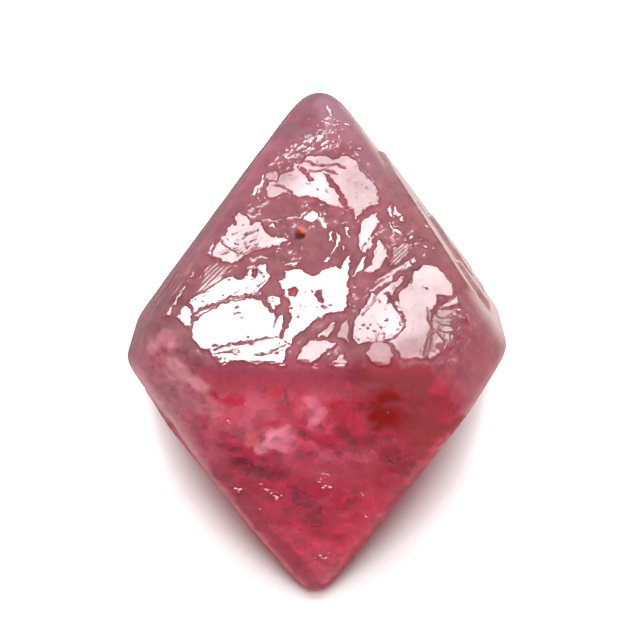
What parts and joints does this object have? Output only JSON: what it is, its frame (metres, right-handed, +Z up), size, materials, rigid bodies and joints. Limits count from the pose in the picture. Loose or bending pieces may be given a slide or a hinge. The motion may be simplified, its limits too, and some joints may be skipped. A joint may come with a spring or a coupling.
{
  "type": "spinel octahedron",
  "caption": "Loose red spinel crystal: a slightly uneven octahedron with rounded edges, growth plates and etch pits, lying on one face.",
  "frame": {"origin": "on the floor, under the middle of the crystal's bounding box", "axes": "+Z up from the face that the crystal rests on, +Y from the near tip to the far tip, +X to the right when the lower front face looks at you"},
  "size_m": [0.0056, 0.0062, 0.0046],
  "materials": {
    "spinel": "see-through pinkish red crystal with etched, satin rims and mirror-bright growth plates"
  },
  "bodies": {
    "root": {"spinel_crystal": "spinel"}
  },
  "joints": []
}
